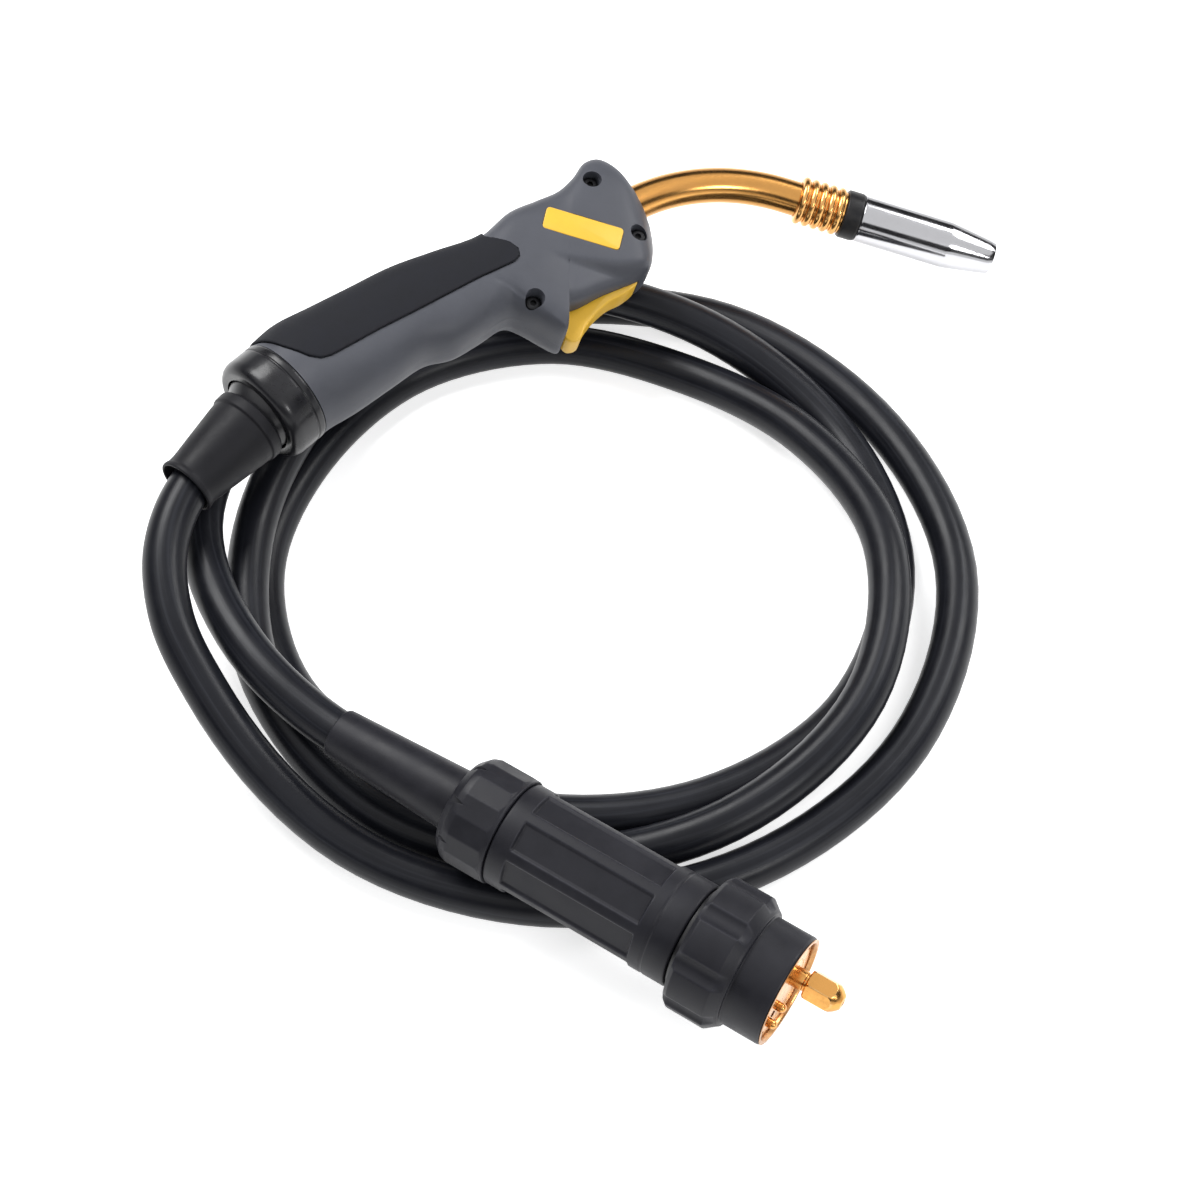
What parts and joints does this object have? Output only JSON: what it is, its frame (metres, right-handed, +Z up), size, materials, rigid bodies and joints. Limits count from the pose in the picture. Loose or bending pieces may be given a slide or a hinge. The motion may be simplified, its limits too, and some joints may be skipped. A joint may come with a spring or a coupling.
{
  "type": "mig welding torch",
  "caption": "Air-cooled gas metal arc welding torch with swan neck, conical gas nozzle, ball-joint pistol handle, trigger, coiled coaxial cable and central machine plug.",
  "frame": {"origin": "centre of the wire inlet at the tip of the plug's liner nut", "axes": "+X out of the plug along its axis, +Z up, away from the surface the coil lies on"},
  "size_m": [0.3424, 0.3926, 0.0851],
  "materials": {
    "cable_rubber": "satin black sheath",
    "boot_rubber": "matt black",
    "seal_rubber": "matt",
    "ball_plastic": "matt black",
    "handle_plastic": "fine-grained blue-grey",
    "pad_rubber": "soft matt",
    "collar_plastic": "glossy black",
    "yellow_plastic": "yellow",
    "screw_steel": "black",
    "plug_plastic": "charcoal",
    "switch_plastic": "black",
    "plunger_plastic": "red",
    "lead_pvc": "red insulation",
    "insulator_plastic": "black",
    "brass": "polished",
    "copper": "copper",
    "spring_steel": "bright",
    "nozzle_chrome": "plated"
  },
  "bodies": {
    "cable": {"torch_cable": "cable_rubber", "cable_boot": "boot_rubber", "ball_joint": "ball_plastic", "cable_core": "copper", "plug_sleeve": "boot_rubber", "cap_nut": "plug_plastic", "plug_housing": "plug_plastic", "plug_crimp": "brass", "plug_collar": "ball_plastic", "seal_ring": "seal_rubber", "plug_body": "brass", "retaining_ring": "spring_steel", "central_pin": "brass", "liner_nut": "brass", "contact_spring_upper": "spring_steel", "contact_spring_lower": "spring_steel"},
    "handle": {"handle_shell_upper": "handle_plastic", "handle_shell_lower": "handle_plastic", "grip_pad": "pad_rubber", "label_upper": "yellow_plastic", "label_lower": "yellow_plastic", "handle_screws": "screw_steel", "handle_collar": "collar_plastic", "trigger_pin": "spring_steel", "trigger_spring": "spring_steel", "switch_body": "switch_plastic", "switch_leads": "lead_pvc", "neck_nut": "brass", "cable_fitting": "brass", "swan_neck": "brass", "wire_liner": "spring_steel", "neck_head": "brass", "nozzle_insulator": "insulator_plastic", "nozzle_clip": "spring_steel", "gas_diffuser": "brass", "tip_holder": "brass", "contact_tip": "copper"},
    "ring_nut": {"ring_nut": "plug_plastic", "nut_insert": "spring_steel"},
    "contact_pin_upper": {"contact_pin_upper": "brass"},
    "contact_pin_lower": {"contact_pin_lower": "brass"},
    "trigger": {"trigger": "yellow_plastic"},
    "switch_plunger": {"switch_plunger": "plunger_plastic"},
    "gas_nozzle": {"gas_nozzle": "nozzle_chrome"}
  },
  "joints": [
    {"name": "handle_tilt", "type": "hinge", "parent": "cable", "child": "handle", "pos_m": [-0.3115, 0.09126, 0.02334], "axis": [0.933, -0.3599, 0], "range_deg": [0, 10]},
    {"name": "ring_nut_turn", "type": "hinge", "parent": "cable", "child": "ring_nut", "pos_m": [-0.018, -0.0056, -0.0021], "axis": [1, 0, 0], "continuous": true},
    {"name": "contact_pin_upper_press", "type": "slide", "parent": "cable", "child": "contact_pin_upper", "axis": [-1, 0, 0], "range_m": [0, 0.003], "stiffness_N_per_m": 300, "springref_m": -0.001},
    {"name": "contact_pin_lower_press", "type": "slide", "parent": "cable", "child": "contact_pin_lower", "axis": [-1, 0, 0], "range_m": [0, 0.003], "stiffness_N_per_m": 300, "springref_m": -0.001},
    {"name": "trigger_press", "type": "hinge", "parent": "handle", "child": "trigger", "pos_m": [-0.233, 0.22815, 0.00973], "axis": [-0.2695, 0.059, -0.9612], "range_deg": [0, 7], "stiffness_Nm_per_rad": 0.6, "springref_deg": -5.73},
    {"name": "switch_plunger_press", "type": "slide", "parent": "handle", "child": "switch_plunger", "axis": [-0.8379, 0.4776, 0.2642], "range_m": [0, 0.0035]},
    {"name": "gas_nozzle_pull", "type": "slide", "parent": "handle", "child": "gas_nozzle", "axis": [0.901, 0.3677, -0.23], "range_m": [0, 0.07]}
  ],
  "couplings": [
    {"joint": "switch_plunger_press", "follows": "trigger_press", "m_per_rad": 0.0271}
  ]
}
